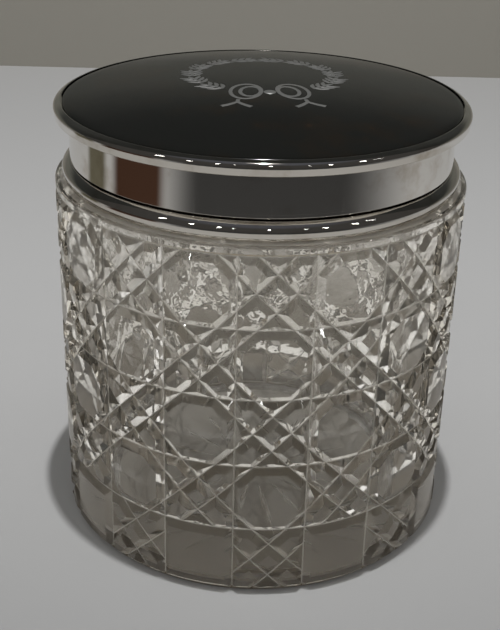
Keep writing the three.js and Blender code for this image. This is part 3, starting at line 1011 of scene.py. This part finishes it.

# %% [markdown]
# ### Cut glass
#
# The facets do most of the work, because each one bends the light another way. The glass itself is old
# flint glass, clear across the wall but olive along it, which a little absorption in its volume gives. Its
# inside was left as it was blown, so it is wavy near the top and has a thin haze. Dust lies in the cuts,
# and the base has gone dull from a hundred years of standing on tables. The lowest two millimetres are
# painted dark brown, partly grime and partly painted shade where the foot meets the table. A lamp's rays
# are let through as if the glass were clear, or its inside would lie in a black shadow.

# %% Glass and plaster
dust_share = 0.03
dust_in_cuts = 0.36
grime_and_shade_under = 0.45
haze_share = 0.2
haze_start, haze_full = 30 * MM, 68 * MM
ripple_start, ripple_full = 48 * MM, 60 * MM

crystal, places = begin("flint_glass")
film = noise(places, 160, detail=4, roughness=0.65)
up = places.axis(2)
under = 1 - up.ramp(1.0 * MM, 1.9 * MM)
scuffs = noise(places, 700, detail=4, roughness=0.7)
from_axis = places.node("VectorMath", {"operation": "MULTIPLY"}, {0: places, 1: (1, 1, 0)}).length()
in_cavity = 1 - from_axis.ramp(cavity_radius + 0.2 * MM, cavity_radius + 0.6 * MM)
ripples = noise(places, 340, detail=2) * in_cavity * up.ramp(ripple_start, ripple_full)
haze = in_cavity * up.ramp(haze_start, haze_full) * haze_share
finish(crystal, {"IOR": 1.53, "Transmission Weight": 1.0, "Base Color": colour(0.995, 0.993, 0.985)}, {
    "Roughness": film.ramp(0.5, 0.8) * 0.04 + under * (0.35 + scuffs * 0.3),
    "Normal": bump(ripples, 0.13 * MM)})
inside = places.node("VolumeAbsorption", inputs={"Color": colour(0.5, 0.38, 0.15), "Density": 5.0})
output = crystal.node_tree.nodes["Material Output"]
crystal.node_tree.links.new(inside.socket, output.inputs["Volume"])

off_neck = from_axis.ramp(neck_radius + MM, neck_radius + 1.5 * MM)
in_cuts = (1 - from_axis.ramp(cut_radius + 0.03 * MM, cut_radius + 0.22 * MM)) * off_neck
# A pale dusty layer lies in the cuts. At the foot the same layer is dark brown, partly grime and partly
# painted shade.
dust_and_shade = places.node("BsdfPrincipled", inputs={"Roughness": 1.0, "Specular IOR Level": 0.0,
    "Base Color": under.between(colour(0.75, 0.72, 0.66), colour(0.15, 0.12, 0.085))})
dust_and_shade_share = dust_share + in_cuts * dust_in_cuts + under * grime_and_shade_under + haze
dusty_and_shaded = places.node("MixShader", inputs={0: dust_and_shade_share, 1: own_shader(crystal), 2: dust_and_shade})
lamp_ray = places.node("LightPath", output="Is Shadow Ray")
clear = places.node("BsdfTransparent", inputs={"Color": colour(0.55, 0.55, 0.53)})
shade(crystal, places.node("MixShader", inputs={0: lamp_ray, 1: dusty_and_shaded, 2: clear}))
wear(glass, crystal)

chalk, places = begin("setting_plaster")
grain = noise(places, 900, detail=5, roughness=0.7)
finish(chalk, {}, {
    "Base Color": grain.ramp(0.3, 0.7).between(colour(0.66, 0.63, 0.57), colour(0.82, 0.8, 0.75)),
    "Roughness": 0.8 + grain * 0.15,
    "Normal": bump(grain, 0.05 * MM)})
wear(frame["nodes"]["collar_plaster"], chalk)
print(crystal.name, "on", glass.name, "and", chalk.name, "under the collar")

# %% [markdown]
# ## The stage
#
# The jar stands on a pale grey table, with a plain taupe wall behind. Neither belongs to the object. The
# wall's back face lets everything through, so that the jar can be looked at from behind it too. The table
# goes on past the wall for the same reason.

# %% Table and wall
wall_back = 386 * MM
stage_width = 3

bpy.ops.mesh.primitive_plane_add(size=stage_width, location=(0, wall_back - stage_width / 2, 0))
table = fresh("table")
edit(table, lambda place: place.y > 0)
bpy.ops.transform.translate(value=(0, stage_width / 2, 0))
done()
bpy.ops.mesh.primitive_plane_add(size=stage_width, location=(0, wall_back, stage_width / 2),
    rotation=(math.pi / 2, 0, 0))
wall = fresh("wall")
print("stage:", table.name, "and", wall.name)

# %% [markdown]
# A real room is full of things that polished silver mirrors. Here the table stands in for them: to rays
# that come mirrored, its far part is a dark room with one brown and one olive thing in it, each in a sector
# round the jar. Glass gathers light from all over a bright room, so to rays that come through glass the
# table is pale far away and dark close to the jar, where its own shadow lies.

# %% The table's paint
table_grey, table_front_painted_shade = colour(0.46, 0.46, 0.46), colour(0.28, 0.28, 0.28)
table_mirrored = colour(0.37, 0.363, 0.35)
glass_near, glass_far = colour(0.115, 0.1, 0.08), colour(0.97, 0.96, 0.93)
room_dark, room_brown = colour(0.04, 0.04, 0.04), colour(0.055, 0.025, 0.014)
room_olive = colour(0.13, 0.12, 0.085)
shade_front, shade_back = -110 * MM, 60 * MM
glass_dark, glass_pale = 80 * MM, 250 * MM
room_start, room_full = 226 * MM, 240 * MM


def ray_kinds(wire):
    """Whether a ray comes through glass, and whether it comes mirrored without any glass."""
    through_glass = wire.node("LightPath", output="Is Transmission Ray")
    return through_glass, wire.node("LightPath", output="Is Glossy Ray") * (1 - through_glass)


grey, places = begin("table_paint")
through_glass, mirrored = ray_kinds(places)
across, back, away = places.axis(0), places.axis(1), places.length()
around = across.sum("ARCTAN2", across, 0 - back)


def sector(*turns):
    """Rises from 0 to 1 between two turns round the jar and falls between two more, in degrees."""
    rise_start, rise_end, fall_start, fall_end = map(math.radians, turns)
    return around.ramp(rise_start, rise_end) * (1 - around.ramp(fall_start, fall_end))


# To rays that come neither through glass nor mirrored, the table is painted darker towards the front: a
# painted shadow falling from in front of the jar.
shown = back.ramp(shade_front, shade_back).between(table_front_painted_shade, table_grey)
through = away.ramp(glass_dark, glass_pale).between(glass_near, glass_far)
seen = through_glass.between(shown, through)
room = sector(-62, -32, 42, 100).between(table_grey, room_dark)
room = sector(-116, -110, -99, -93).between(room, room_olive)
room = sector(-92, -84, -58, -50).between(room, room_brown)
beyond = mirrored * away.ramp(room_start, room_full)
finish(grey, {"Roughness": 0.9, "Specular IOR Level": 0.1}, {
    "Base Color": beyond.between(mirrored.between(seen, table_mirrored), room)})
wear(table, grey)
print(grey.name, "on", table.name)

# %% [markdown]
# The wall is painted darker upwards in two steps, a painted shade, because the polished shell mirrors it
# at a low angle and shows that change. The camera sees only its lowest part, which is even.

# %% The wall's paint
wall_low, wall_middle = colour(0.282, 0.27, 0.24), colour(0.165, 0.165, 0.147)
wall_high, wall_painted_bright_through_glass = colour(0.047, 0.049, 0.047), colour(0.96, 0.94, 0.89)
dusk_start, dusk_full = 60 * MM, 140 * MM
dark_start, dark_full = 165 * MM, 285 * MM

taupe, places = begin("wall_paint")
through_glass = places.node("LightPath", output="Is Transmission Ray")
up = places.axis(2)
dusk = up.ramp(dusk_start, dusk_full).between(wall_low, wall_middle)
dim = up.ramp(dark_start, dark_full).between(dusk, wall_high)
# To rays that come through glass the wall is painted nearly white, a painted light that stands for a bright
# room.
finish(taupe, {"Roughness": 1.0, "Specular IOR Level": 0.0}, {
    "Base Color": through_glass.between(dim, wall_painted_bright_through_glass)})
from_behind = places.node("NewGeometry", output="Backfacing")
shade(taupe, places.node("MixShader", inputs={0: from_behind, 1: own_shader(taupe),
    2: places.node("BsdfTransparent")}))
wear(wall, taupe)
print(taupe.name, "on", wall.name)

# %% [markdown]
# The room around is one soft light. Silver and shell mirror a dark ceiling instead, a little bluer right
# overhead. A ray may be turned many times between the facets of the glass before it gets out, so it is
# followed further than usual, or the deep cuts would go black.

# %% The room's light
room_light, room_through_glass = colour(0.52, 0.516, 0.508), colour(1, 0.99, 0.97)
ceiling_low, ceiling_high = colour(0.045, 0.043, 0.041), colour(0.075, 0.078, 0.09)
turns_in_glass = 32

world = bpy.data.worlds.new("room")
bpy.context.scene.world = world
world.use_nodes = True
direction = Wire(world.node_tree).node("TexCoord", output="Generated")
through_glass, mirrored = ray_kinds(direction)
overhead = direction.axis(2).ramp(0.8, 0.97).between(ceiling_low, ceiling_high)
light = mirrored.between(through_glass.between(room_light, room_through_glass), overhead)
world.node_tree.links.new(light.socket, world.node_tree.nodes["Background"].inputs["Color"])
bpy.context.scene.cycles.max_bounces = turns_in_glass
bpy.context.scene.cycles.transmission_bounces = turns_in_glass
print("world:", world.name)

# %% [markdown]
# A small strong lamp hangs nearly overhead, a little to the front. It gives most of the light, and the
# lid's shadow from it falls just beside the foot. Thin upright lamps stand in a half ring in front, as the
# gaps between a room's curtains do: each leaves one spark on every curved edge of the silver. Three gaps
# are nearly closed and leave faint ones.

# %% Lamps
def lamp(name, turn, rise, distance, width, height, power):
    """A lamp that faces the lid, from a turn round the jar and a rise above it, in degrees."""
    data = bpy.data.lights.new(name, "AREA")
    data.shape = "ELLIPSE"
    data.size, data.size_y = width, height
    data.energy = power
    made = bpy.data.objects.new(name, data)
    bpy.context.scene.collection.objects.link(made)
    turn, rise = math.radians(turn), math.radians(rise)
    toward = Vector((math.sin(turn) * math.cos(rise), -math.cos(turn) * math.cos(rise), math.sin(rise)))
    made.location = toward * distance + Vector((0, 0, bezel_high.z))
    made.rotation_euler = toward.to_track_quat("Z", "Y").to_euler()


lamp("overhead", turn=8, rise=85.2, distance=0.623, width=0.015, height=0.015, power=3.2)
bright_turns, faint_turns = [-68, -46, -27, 6, 44, 67], [-17, 30, 80]
for turn in bright_turns:
    lamp(f"gap_at_{turn}", turn, rise=46, distance=1.4, width=0.02, height=0.16, power=0.22)
for turn in faint_turns:
    lamp(f"gap_at_{turn}", turn, rise=46, distance=1.4, width=0.008, height=0.16, power=0.04)
print("lamps:", len(bpy.data.lights))
